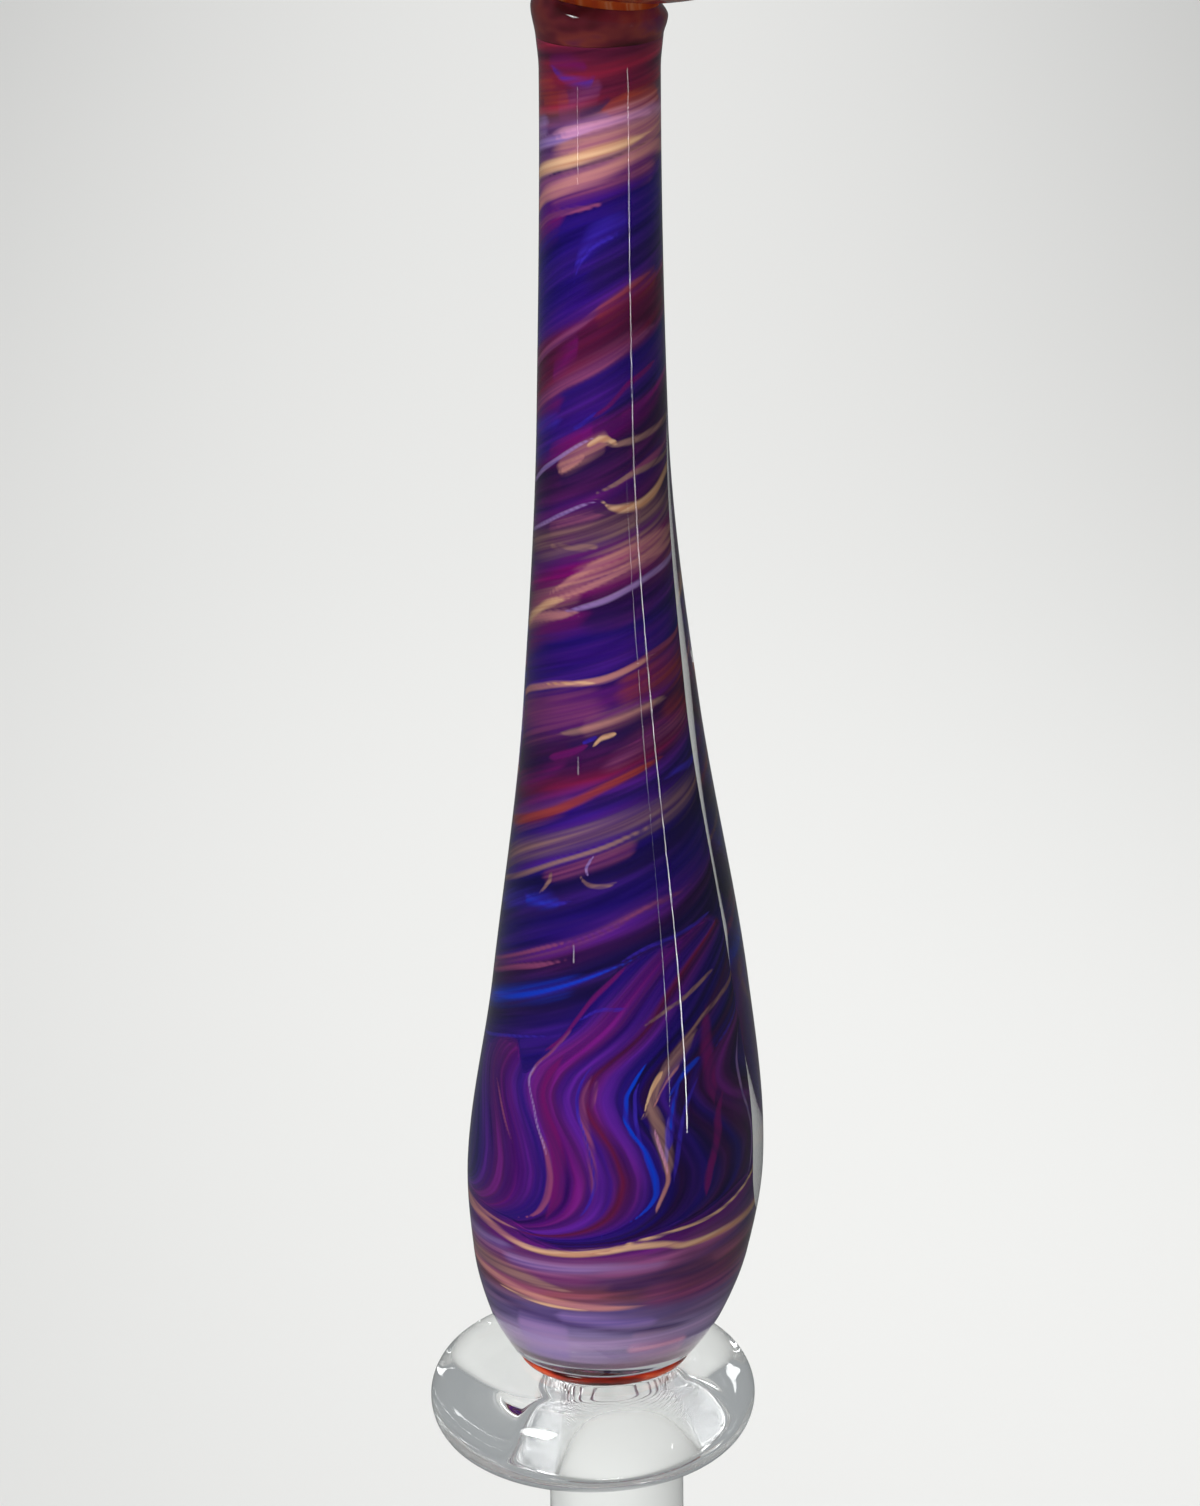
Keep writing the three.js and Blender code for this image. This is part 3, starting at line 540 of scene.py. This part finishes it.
def add(nodes, kind, links=None, stops=(), **settings):
    """Adds one node with its settings. Each link is an input and its source: a socket or a plain value.
    Each stop of a ramp is a place and an sRGB hex."""
    made = nodes.new(kind)
    for key, value in settings.items():
        setattr(made, key, value)
    for key, value in (links or {}).items():
        if isinstance(value, bpy.types.NodeSocket):
            nodes.id_data.links.new(value, made.inputs[key])
        else:
            made.inputs[key].default_value = value
    if stops:
        elements = made.color_ramp.elements
        while len(elements) < len(stops):
            elements.new(1.0)
        for element, (place, code) in zip(elements, stops):
            element.position, element.color = place, linear(code)
    return made


def new_material(name):
    """Empty node material, with its nodes."""
    made = bpy.data.materials.new(name)
    made.use_nodes = True
    made.node_tree.nodes.clear()
    return made, made.node_tree.nodes


def clear_glass():
    """Clear borosilicate, worked in a flame: colourless and smooth, with slow waves left by the hot glass.
    Lamps shine through it, so that the coloured core inside is lit."""
    made, nodes = new_material("Clear borosilicate")
    place = add(nodes, "ShaderNodeTexCoord").outputs["Object"]
    wave_mm, wave_height_mm = 7, 0.1
    waves = add(nodes, "ShaderNodeTexNoise", {"Vector": place, "Scale": 1 / (wave_mm * MM), "Detail": 1.0})
    bump = add(nodes, "ShaderNodeBump", {
        "Height": waves.outputs["Fac"], "Strength": 0.07, "Distance": wave_height_mm * MM,
    })
    glass = add(nodes, "ShaderNodeBsdfPrincipled", {
        "Base Color": linear("#fbfdfc"), "Roughness": 0.0, "IOR": GLASS_IOR, "Transmission Weight": 1.0,
        "Normal": bump.outputs["Normal"],
    })
    through = add(nodes, "ShaderNodeBsdfTransparent", {"Color": linear("#f2f4f3")})
    path = add(nodes, "ShaderNodeLightPath")
    mixed = add(nodes, "ShaderNodeMixShader", {
        "Fac": path.outputs["Is Shadow Ray"], 1: glass.outputs[0], 2: through.outputs[0],
    })
    add(nodes, "ShaderNodeOutputMaterial", {"Surface": mixed.outputs[0]})
    return made


def banded(nodes, place, bands):
    """Colour of the band at a place. A ramp takes 32 stops, so several ramps share the bands, each taking
    over where the last one ends."""
    share, colour = 28, None
    for first in range(0, len(bands) - 1, share):
        part = bands[first:first + share + 1]
        low, high = part[0][0], part[-1][0]
        stops = [((at - low) / (high - low), GLASS[glass]) for at, glass in part]
        level = add(nodes, "ShaderNodeMapRange", {"Value": place, "From Min": low, "From Max": high})
        ramp = add(nodes, "ShaderNodeValToRGB", {"Fac": level.outputs[0]}, stops=stops)
        if colour is None:
            colour = ramp.outputs["Color"]
            continue
        above = add(nodes, "ShaderNodeMath", {0: place, 1: low}, operation="GREATER_THAN")
        colour = add(nodes, "ShaderNodeMix", {
            "Factor": above.outputs[0], "A": colour, "B": ramp.outputs["Color"],
        }, data_type="RGBA").outputs["Result"]
    return colour


def swirl_glass():
    """Swirled coloured glass inside the stem: dark violet ground drawn out sideways, upright flames in the
    bulb, and streaks of cream, salmon, brick and blue. It is fused to the clear glass, so it has no gloss."""
    made, nodes = new_material("Swirled silver glass")
    place = add(nodes, "ShaderNodeTexCoord").outputs["Object"]
    xyz = add(nodes, "ShaderNodeSeparateXYZ", {0: place}).outputs
    marks = {
        name: add(nodes, "ShaderNodeAttribute", attribute_name=name).outputs["Fac"]
        for name in ("lay", "turn", "upright", *DULL)
    }

    def drawn_noise(along_mm, across_mm, detail, seed):
        """Noise drawn out along the lines of the swirl, which stand upright in the flames."""
        slow, quick = 1 / (along_mm * MM), 1 / across_mm
        wide = add(nodes, "ShaderNodeCombineXYZ", {"X": xyz["X"], "Y": xyz["Y"]})
        wide = add(nodes, "ShaderNodeVectorMath", {0: wide.outputs[0], "Scale": slow}, operation="SCALE")
        tall = add(nodes, "ShaderNodeMath", {0: marks["lay"], 1: quick}, operation="MULTIPLY")
        tall = add(nodes, "ShaderNodeCombineXYZ", {"X": seed, "Z": tall.outputs[0]})
        lying = add(nodes, "ShaderNodeVectorMath", {0: wide.outputs[0], 1: tall.outputs[0]}, operation="ADD")
        turn = add(nodes, "ShaderNodeMath", {
            0: marks["turn"], 1: 1 / (DEGREES_PER_MM * across_mm),
        }, operation="MULTIPLY")
        rise = add(nodes, "ShaderNodeMath", {0: xyz["Z"], 1: slow}, operation="MULTIPLY")
        standing = add(nodes, "ShaderNodeCombineXYZ", {"X": turn.outputs[0], "Y": rise.outputs[0], "Z": seed})
        way = add(nodes, "ShaderNodeMix", {
            "Factor": marks["upright"], 4: lying.outputs[0], 5: standing.outputs[0],
        }, data_type="VECTOR").outputs[1]
        noise = add(nodes, "ShaderNodeTexNoise", {"Vector": way, "Scale": 1.0, "Detail": detail})
        return noise.outputs["Fac"]

    wander = drawn_noise(along_mm=8, across_mm=1.6, detail=2.0, seed=3.1)
    strands = drawn_noise(along_mm=10, across_mm=0.85, detail=2.0, seed=11.7)
    hairs = drawn_noise(along_mm=10, across_mm=0.28, detail=1.0, seed=23.3)
    off = add(nodes, "ShaderNodeMath", {0: wander, 1: 0.5}, operation="SUBTRACT").outputs[0]
    lay = add(nodes, "ShaderNodeMath", {0: off, 1: WANDER_MM, 2: marks["lay"]}, operation="MULTIPLY_ADD")
    turn = add(nodes, "ShaderNodeMath", {
        0: off, 1: WANDER_DEGREES, 2: marks["turn"],
    }, operation="MULTIPLY_ADD")
    sideways = banded(nodes, lay.outputs[0], GROUND)
    upright = banded(nodes, turn.outputs[0], FLAMES)
    colour = add(nodes, "ShaderNodeMix", {
        "Factor": marks["upright"], "A": sideways, "B": upright,
    }, data_type="RGBA").outputs["Result"]
    # The strands are clear above the foot, and faint in it.
    shade = add(nodes, "ShaderNodeValToRGB", {"Fac": strands}, stops=STRANDS).outputs["Color"]
    shade = add(nodes, "ShaderNodeVectorMath", {0: shade, "Scale": STRAND_GAIN}, operation="SCALE")
    clearness = add(nodes, "ShaderNodeMapRange", {
        "Value": marks["lay"], "From Min": 3.0, "From Max": 5.5, "To Min": 0.25, "To Max": 1.0,
    })
    colour = add(nodes, "ShaderNodeMix", {
        "Factor": clearness.outputs[0], "A": colour, "B": shade.outputs[0],
    }, data_type="RGBA", blend_type="MULTIPLY").outputs["Result"]
    # Streaks of each glass, with dull hairs through them. Strands and hairs fray their edges.
    dullness = add(nodes, "ShaderNodeMapRange", {"Value": hairs, "From Min": 0.32, "From Max": 0.68})
    fray = add(nodes, "ShaderNodeMath", {0: hairs, 1: HAIR_SHARE, 2: strands}, operation="MULTIPLY_ADD")
    for glass, dull in DULL.items():
        tone = add(nodes, "ShaderNodeMix", {
            "Factor": dullness.outputs[0], "A": linear(GLASS[glass]), "B": linear(dull),
        }, data_type="RGBA")
        frayed = add(nodes, "ShaderNodeMath", {0: fray.outputs[0], 1: marks[glass]}, operation="ADD")
        cover = add(nodes, "ShaderNodeMapRange", {
            "Value": frayed.outputs[0], "From Min": 0.96, "From Max": 1.86, "To Min": 0.85, "To Max": 0.0,
        }, interpolation_type="SMOOTHSTEP")
        colour = add(nodes, "ShaderNodeMix", {
            "Factor": cover.outputs[0], "A": colour, "B": tone.outputs["Result"],
        }, data_type="RGBA").outputs["Result"]
    depth = add(nodes, "ShaderNodeMapRange", {
        "Value": hairs, "From Min": 0.3, "From Max": 0.7, "To Min": 0.86, "To Max": 1.12,
    }).outputs[0]
    colour = add(nodes, "ShaderNodeVectorMath", {0: colour, "Scale": depth}, operation="SCALE").outputs[0]
    # Painted light: the core's colour is brightened towards the neck and the foot, the more the farther from
    # the middle.
    off_middle = add(nodes, "ShaderNodeMath", {0: marks["lay"], 1: PAINTED_LIGHT_MIDDLE}, operation="SUBTRACT")
    off_middle = add(nodes, "ShaderNodeMath", {0: off_middle.outputs[0]}, operation="ABSOLUTE")
    light = add(nodes, "ShaderNodeMapRange", {
        "Value": off_middle.outputs[0], "From Min": 22.0, "From Max": 36.0, "To Min": 1.04, "To Max": 1.36,
    }).outputs[0]
    pure = add(nodes, "ShaderNodeHueSaturation", {"Color": colour, "Saturation": 1.035, "Value": light})
    body = add(nodes, "ShaderNodeBsdfPrincipled", {
        "Base Color": pure.outputs["Color"], "Roughness": 0.4, "Specular IOR Level": 0.0,
    })
    add(nodes, "ShaderNodeOutputMaterial", {"Surface": body.outputs[0]})
    return made


def drawn_glass(name, tones, along_mm, across_mm, gloss):
    """Coloured glass of a weld, wiped round the joint in the flame: darker and paler lines, with a wet gloss
    where it lies bare and none where clear glass covers it."""
    made, nodes = new_material(name)
    place = add(nodes, "ShaderNodeTexCoord").outputs["Object"]
    thin = (1 / (along_mm * MM), 1 / (along_mm * MM), 1 / (across_mm * MM))
    drawn = add(nodes, "ShaderNodeVectorMath", {0: place, 1: thin}, operation="MULTIPLY")
    lines = add(nodes, "ShaderNodeTexNoise", {"Vector": drawn.outputs[0], "Scale": 1.0, "Detail": 2.0})
    colour = add(nodes, "ShaderNodeValToRGB", {"Fac": lines.outputs["Fac"]}, stops=tones)
    body = add(nodes, "ShaderNodeBsdfPrincipled", {
        "Base Color": colour.outputs["Color"], "Roughness": 0.08, "IOR": GLASS_IOR,
        "Specular IOR Level": gloss,
    })
    add(nodes, "ShaderNodeOutputMaterial", {"Surface": body.outputs[0]})
    return made


def cap_glass():
    """Coloured glass inside the cap: amber and brick arms that wind from the neck to the crown, with thin
    cream and wine lines between them, plain orange-red underneath and a small plain dot at the crown."""
    made, nodes = new_material("Amber swirl glass")
    marks = {
        name: add(nodes, "ShaderNodeAttribute", attribute_name=name).outputs["Fac"]
        for name in ("arm_x", "arm_y", "climb")
    }
    way = add(nodes, "ShaderNodeCombineXYZ", {"X": marks["arm_x"], "Y": marks["arm_y"], "Z": marks["climb"]})
    arms = add(nodes, "ShaderNodeTexNoise", {
        "Vector": way.outputs[0], "Scale": CAP_RADIUS / ARM_WIDTH, "Detail": 3.0,
    })
    colour = add(nodes, "ShaderNodeValToRGB", {"Fac": arms.outputs["Fac"]}, stops=CAP_TONES)
    under = add(nodes, "ShaderNodeMapRange", {
        "Value": marks["climb"], "From Min": 0.30, "From Max": 0.52, "To Min": 0.7, "To Max": 0.0,
    }, interpolation_type="SMOOTHSTEP")
    colour = add(nodes, "ShaderNodeMix", {
        "Factor": under.outputs[0], "A": colour.outputs["Color"], "B": linear("#b8451f"),
    }, data_type="RGBA")
    crown = add(nodes, "ShaderNodeMapRange", {
        "Value": marks["climb"], "From Min": 0.915, "From Max": 0.96,
    }, interpolation_type="SMOOTHSTEP")
    colour = add(nodes, "ShaderNodeMix", {
        "Factor": crown.outputs[0], "A": colour.outputs["Result"], "B": linear("#7d2a1f"),
    }, data_type="RGBA")
    body = add(nodes, "ShaderNodeBsdfPrincipled", {
        "Base Color": colour.outputs["Result"], "Roughness": 0.4, "Specular IOR Level": 0.0,
    })
    add(nodes, "ShaderNodeOutputMaterial", {"Surface": body.outputs[0]})
    return made


def lean_with_cap(made):
    """Leans the rings above the lip with the cap: each point drops by its X times the slope of the tilt, by a
    share that grows from nothing at the lip to the whole at the cap."""
    points = np.empty(len(made.data.vertices) * 3)
    made.data.vertices.foreach_get("co", points)
    points = points.reshape(-1, 3)
    share = np.clip((points[:, 2] / MM - LIP) / NECK_HEIGHT, 0, 1)
    points[:, 2] -= points[:, 0] * np.tan(CAP_TILT) * share
    made.data.vertices.foreach_set("co", points.ravel())
    made.data.update()
    return made


def clear_body():
    """Rod, disc and stem casing as one fused solid that runs on over the collar: a profile of arcs and the
    stem's curve carried round, with each ring's middle blended from rod to disc and on to the stem."""
    tip = arc(0, ROD_TIP + ROD_RADIUS, ROD_RADIUS, -QUARTER, 0, count=16)
    side_z = np.linspace(ROD_TIP + ROD_RADIUS, -ROD_FILLET, 24)[1:]
    side = (ROD_RADIUS + 0 * side_z, side_z)
    angle = np.linspace(0, QUARTER, 10)[1:]
    fillet = (ROD_RADIUS + ROD_FILLET * (1 - np.cos(angle)), -ROD_FILLET * (1 - np.sin(angle)))
    half = DISC_TOP / 2
    flat_edge = DISC_RADIUS - half
    under_r = np.linspace(ROD_RADIUS + ROD_FILLET, flat_edge, 6)[1:-1]
    under = (under_r, 0 * under_r)
    rim = arc(flat_edge, half, half, -QUARTER, QUARTER, count=40)
    over_r = np.linspace(flat_edge, WELD_RADIUS, 8)[1:-1]
    over = (over_r, DISC_TOP + 0 * over_r)
    angle = np.linspace(-QUARTER, QUARTER, 12)
    neck = (WELD_RADIUS - NOTCH * np.cos(angle), DISC_TOP + NOTCH + NOTCH * np.sin(angle))
    t = (LIP - FOOT) * np.linspace(0, 1, STEM_ROWS) ** STEM_ROW_CROWDING
    edge = np.clip(1 - t / FOOT_EDGE, 0, 1)
    stem = (stem_radius(t) - FOOT_EDGE * (1 - np.sqrt(1 - edge ** 2)), FOOT + t)
    rise = np.linspace(0, NECK_HEIGHT, COLLAR_ROWS)[1:]
    collar = (collar_radius(rise), LIP + rise)
    top_r = np.linspace(collar[0][-1], 0, 6)[1:]
    top = (top_r, CAP_SEAT + 0 * top_r)
    parts = [tip, side, fillet, under, rim, over, neck, stem, collar, top]
    radius, height = (np.concatenate([part[i] for part in parts]) for i in (0, 1))
    middle = np.concatenate([
        np.zeros(len(tip[0]) + len(side[0]) + len(fillet[0])),
        DISC_SHIFT * np.linspace(0, 1, len(under_r) + 2)[1:-1],
        np.full(len(rim[0]), DISC_SHIFT),
        DISC_SHIFT + (stem_shift(0) - DISC_SHIFT) * np.linspace(0, 1, len(over_r) + 2)[1:-1],
        np.full(len(neck[0]), stem_shift(0)),
        stem_shift(t),
        np.full(len(rise) + len(top_r), stem_shift(t[-1])),
    ])
    return lean_with_cap(ring_solid("clear_glass", radius, height, evenly(CLEAR_COLUMNS), middle)[0])


def carried_on(track):
    """A streak that leaves the front at either side goes on round the back, at its own mean slope."""
    (first, low), (last, high) = track[0], track[-1]
    slope = (high - low) / (last - first)
    more = min(LONGEST_BACK, (WHOLE_ROUND - last + first) / 2)
    before = [(first - more, low - slope * more)] if first < -SIDE else []
    after = [(last + more, high + slope * more)] if last > SIDE else []
    return before + track + after


def turned_by(angle, middle):
    """An angle in degrees, brought within half a turn of a middle."""
    return (angle - middle + 180) % 360 - 180 + middle


def reach(glass, around, level):
    """How far each vertex lies from the nearest streak of a glass, in half widths that taper to each end."""
    nearest = np.full(len(around), FAR)
    rows = [(VEIL_MIDDLE, VEIL_RATE, False, *row) for row in VEILS]
    rows += [(0.0, 1.0, False, *row) for row in STREAKS]
    rows += [(0.0, 1.0, True, *row) for row in FLICKS]
    for middle, rate, stands, name, width, *track in rows:
        if name != glass:
            continue
        if not stands:
            track = carried_on(track)
        first, last = track[0][0], track[-1][0]
        along = level if stands else turned_by(around, (first + last) / 2)
        line = curve(track)(along)
        off = turned_by(around, line) - line if stands else level - line
        end = np.abs(2 * (along - first) / (last - first) - 1)
        taper = END_SHARE + (1 - END_SHARE) * np.sqrt(np.clip(1 - end ** 2, 0, 1))
        away = middle + rate * np.abs(off) / (width * WIDENING * taper)
        away = away + END_FADE * smoothstep(end, FADE_START, FADE_END) + FAR * (end > FADE_END)
        nearest = np.minimum(nearest, away)
    return nearest


def stem_core():
    """Coloured core: the stem's curve less its wall, with a round lower end. Marks hold the swirl's own
    height, its turn in the flames, how much of the flames shows, and the reach of each glass's streaks."""
    start = CORE_FLOOR + CORE_END_ROUND
    end = stem_radius(start) - stem_wall(start)
    floor = arc(0, start, end, -QUARTER, 0, count=14, rise=CORE_END_ROUND)
    lip_level = LIP - FOOT
    t = np.linspace(start, lip_level - CORE_SEAM, CORE_ROWS)[1:]
    flare = smoothstep(t, lip_level - CORE_FLARE_HEIGHT, lip_level)
    side = (stem_radius(t) - stem_wall(t) * (1 - CORE_FLARE_SHARE * flare), t)
    radius = np.concatenate([floor[0], side[0], [0]])
    height = np.concatenate([floor[1], side[1], [t[-1]]])
    middle = stem_shift(height) + core_lean(height)
    front = np.linspace(-FRONT_EDGE, FRONT_EDGE, FRONT_COLUMNS)
    behind = np.linspace(FRONT_EDGE, 360 - FRONT_EDGE, BACK_COLUMNS)[1:-1]
    columns = np.radians(np.concatenate([front, behind]))
    made, around, level, _ = ring_solid("stem_core", radius, height, columns, middle, base=FOOT)
    back = 1 - smoothstep(np.abs(around), BACK_START, 180)
    mark(made, "lay", level - swirl_slope(level) * (around - SWIRL_BEND * around ** 2) * back)
    past = around - FLAME_EASE_START
    eased = FLAME_EASE_START + FLAME_EASE * (1 - np.exp(-past / FLAME_EASE))
    mark(made, "turn", np.where(past > 0, eased, around) * back - flame_bend(level))
    foot = smoothstep(level - flame_foot(around), *FLAME_FOOT_EDGE)
    top = smoothstep(flame_top(around) - level, *FLAME_TOP_EDGE)
    mark(made, "upright", foot * top)
    for glass in DULL:
        mark(made, glass, reach(glass, around, level))
    return made


def base_weld():
    """Red ring in the notch between disc and foot: an oval section carried round."""
    angle = np.linspace(-np.pi, np.pi, WELD_ROWS, endpoint=False)
    section_r = WELD_RADIUS - WELD_INSET + WELD_HALF_WIDTH * np.cos(angle)
    section_z = DISC_TOP + NOTCH + (NOTCH + WELD_SINK) * np.sin(angle)
    points = circles(section_r[:, None], section_z[:, None], stem_shift(0), evenly(CLEAR_COLUMNS))
    here = np.arange(len(points)).reshape(WELD_ROWS, CLEAR_COLUMNS)
    right, up = np.roll(here, -1, axis=1), np.roll(here, -1, axis=0)
    quads = np.stack([here, right, np.roll(up, -1, axis=1), up], -1).reshape(-1, 4)
    return smooth_object("base_weld_ring", points, quads.tolist())


def neck_weld():
    """Coloured glass inside the collar: the collar's curve set in by its thin clear skin."""
    rise = np.linspace(0, NECK_HEIGHT, COLLAR_ROWS)
    side = collar_radius(rise) - COLLAR_SKIN
    radius = np.concatenate([[0, side[0] / 2], side, [side[-1] / 2, 0]])
    height = LIP - CORE_SEAM + np.concatenate([[0, 0], rise, [NECK_HEIGHT, NECK_HEIGHT]])
    return lean_with_cap(ring_solid("neck_collar", radius, height, evenly(COLLAR_COLUMNS))[0])


def cap_outline(wall):
    """Half outline of the cap set in by a wall, from below: belly arc, straight underside, rim arc, dome."""
    rim_centre = CAP_RADIUS - RIM_RADIUS
    belly_edge = BELLY_RADIUS * np.sin(UNDERSIDE_SLOPE)
    belly_rise = BELLY_RADIUS * (1 - np.cos(UNDERSIDE_SLOPE))
    rim_edge = rim_centre + RIM_RADIUS * np.sin(UNDERSIDE_SLOPE)
    rim_rise = belly_rise + (rim_edge - belly_edge) * np.tan(UNDERSIDE_SLOPE)
    rim_height = rim_rise + RIM_RADIUS * np.cos(UNDERSIDE_SLOPE)
    meeting = UNDERSIDE_SLOPE - QUARTER
    belly = arc(0, BELLY_RADIUS, BELLY_RADIUS - wall, -QUARTER, meeting, count=16)
    rim = arc(rim_centre, rim_height, RIM_RADIUS - wall, meeting, 0, count=24)
    dome = arc(0, rim_height, CAP_RADIUS - wall, 0, QUARTER, count=64, rise=DOME_HEIGHT - wall)
    share = np.linspace(0, 1, 12)[1:-1]
    under = tuple(belly[i][-1] + (rim[i][0] - belly[i][-1]) * share for i in (0, 1))
    return tuple(np.concatenate([belly[i], under[i], rim[i], dome[i][1:]]) for i in (0, 1))


def cap_casing():
    """Clear outside of the cap, as one turned solid."""
    radius, height = cap_outline(0)
    columns = evenly(CLEAR_COLUMNS)
    return ring_solid("cap_casing_glass", radius, height, columns, tilt=CAP_TILT, base=CAP_SEAT)[0]


def cap_core():
    """Coloured inside of the cap, with the stub that comes down through the casing to the collar. Marks hold
    the way climbed along the outline, and the winding angle: the angle round plus a twist with the climb."""
    radius, height = cap_outline(CAP_WALL)
    keep = radius > STUB_RADIUS
    keep[-1] = True
    radius = np.concatenate([[0, STUB_RADIUS, STUB_RADIUS], radius[keep]])
    height = np.concatenate([[-STUB_SINK, -STUB_SINK, CAP_WALL], height[keep]])
    columns = evenly(CAP_CORE_COLUMNS)
    made, around, _, row = ring_solid("cap_core_glass", radius, height, columns, tilt=CAP_TILT, base=CAP_SEAT)
    run = np.concatenate([[0], np.cumsum(np.hypot(np.diff(radius), np.diff(height)))])
    climb = (run / run[-1])[row]
    arm = np.radians(around + ARM_WINDING * climb)
    mark(made, "climb", climb)
    mark(made, "arm_x", np.sin(arm))
    mark(made, "arm_y", np.cos(arm))
    return made


def dress(made, material, slot, *nodes):
    """Gives a piece its material, hides the CAD nodes it stands for, and sets it on the one body. The slot is
    not used.
    """
    made.data.materials.append(material)
    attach(made, "root")
    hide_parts(*nodes)


def camera():
    """Camera at the photograph's angle: above the stem and in front of it, rolled a little."""
    target = Vector((-0.457, 0, 43.4)) * MM
    distance, rise, roll = 314 * MM, np.radians(20.4), np.radians(0.71)
    focal_pixels, frame_pixels, sensor = 5500, 1506, 36
    data = bpy.data.cameras.new("camera")
    data.sensor_width = sensor
    data.lens = focal_pixels / frame_pixels * sensor
    data.clip_start = 10 * MM
    back = Vector((0, -np.cos(rise), np.sin(rise)))
    up = Vector((0, np.sin(rise), np.cos(rise)))
    right = Vector((1, 0, 0))
    across = right * np.cos(roll) - up * np.sin(roll)
    upward = right * np.sin(roll) + up * np.cos(roll)
    turn = Matrix((across, upward, back)).transposed().to_4x4()
    made = bpy.data.objects.new("camera", data)
    made.matrix_world = Matrix.Translation(target + back * distance) @ turn
    scene.collection.objects.link(made)
    scene.camera = made


def lamp(name, place, aim, width, height, watts, spread):
    """Flat lamp that faces a point and spreads over an angle. The fill leaves no mirror image."""
    data = bpy.data.lights.new(name, "AREA")
    data.shape, data.size, data.size_y, data.energy = "RECTANGLE", width * MM, height * MM, watts
    data.spread = np.radians(spread)
    made = bpy.data.objects.new(name, data)
    made.location = Vector(place) * MM
    made.rotation_euler = (Vector(aim) - Vector(place)).to_track_quat("-Z", "Y").to_euler()
    made.visible_glossy = name != "fill"
    scene.collection.objects.link(made)


def seen(nodes):
    """1 where the camera looks, straight or through glass, and 0 for the light that falls on the object."""
    path = add(nodes, "ShaderNodeLightPath").outputs
    return add(nodes, "ShaderNodeMath", {
        0: path["Is Camera Ray"], 1: path["Is Transmission Ray"],
    }, operation="MAXIMUM").outputs[0]


def floor():
    """Plain pale floor under the rod's tip, mostly lit by the lamps and partly of one even tone, so that it
    is pale from every side and keeps the shadow. The glass shows it through itself but mirrors none of it."""
    half, level = 4000 * MM, ROD_TIP * MM
    corners = [(-half, -half, level), (half, -half, level), (half, half, level), (-half, half, level)]
    mesh = bpy.data.meshes.new("floor")
    mesh.from_pydata(corners, [], [(0, 1, 2, 3)])
    made = bpy.data.objects.new("floor", mesh)
    material, nodes = new_material("Pale paper")
    tone, even_share = linear("#e4e4e2"), 0.4
    body = add(nodes, "ShaderNodeBsdfPrincipled", {"Base Color": tone, "Roughness": 0.9})
    even = add(nodes, "ShaderNodeEmission", {"Color": tone, "Strength": 1.03})
    share = add(nodes, "ShaderNodeMath", {0: seen(nodes), 1: even_share}, operation="MULTIPLY").outputs[0]
    mixed = add(nodes, "ShaderNodeMixShader", {"Fac": share, 1: body.outputs[0], 2: even.outputs[0]})
    add(nodes, "ShaderNodeOutputMaterial", {"Surface": mixed.outputs[0]})
    material.cycles.emission_sampling = "NONE"
    mesh.materials.append(material)
    made.visible_glossy = False
    scene.collection.objects.link(made)


def world():
    """Soft even light from all round, which the camera sees as pale as the far floor."""
    made = bpy.data.worlds.new("studio")
    made.use_nodes = True
    nodes = made.node_tree.nodes
    nodes.clear()
    light, more_when_seen = 0.15, 0.30
    strength = add(nodes, "ShaderNodeMath", {
        0: seen(nodes), 1: more_when_seen, 2: light,
    }, operation="MULTIPLY_ADD").outputs[0]
    sky = add(nodes, "ShaderNodeBackground", {"Color": linear("#e9edf0"), "Strength": strength})
    add(nodes, "ShaderNodeOutputWorld", {"Surface": sky.outputs[0]})
    scene.world = made


clear = clear_glass()
body = clear_body()
dress(body, clear, "clear_glass", "stake_rod", "soil_disc", "stem_casing")
dress(stem_core(), swirl_glass(), "swirl_glass", "stem_core")
red = drawn_glass("Red glass", RED_TONES, along_mm=3, across_mm=0.5, gloss=0.5)
dress(base_weld(), red, "red_glass", "base_weld")
wine = drawn_glass("Wine glass", WINE_TONES, along_mm=3, across_mm=1.6, gloss=0.0)
dress(neck_weld(), wine, "wine_glass", "neck_weld")
cap_shell = cap_casing()
dress(cap_shell, clear, "clear_glass", "cap_casing")
dress(cap_core(), cap_glass(), "amber_glass", "cap_core")
# Light that bounces off the cores passes the clear glass straight, as lamp light does.
for piece in (body, cap_shell):
    piece.visible_diffuse = False

camera()
floor()
world()
for lamp_name, settings in LAMPS.items():
    lamp(lamp_name, *settings)
scene.cycles.max_bounces = LIGHT_TURNS
scene.cycles.transmission_bounces = LIGHT_TURNS
scene.cycles.glossy_bounces = LIGHT_TURNS
scene.view_settings.view_transform = "Standard"
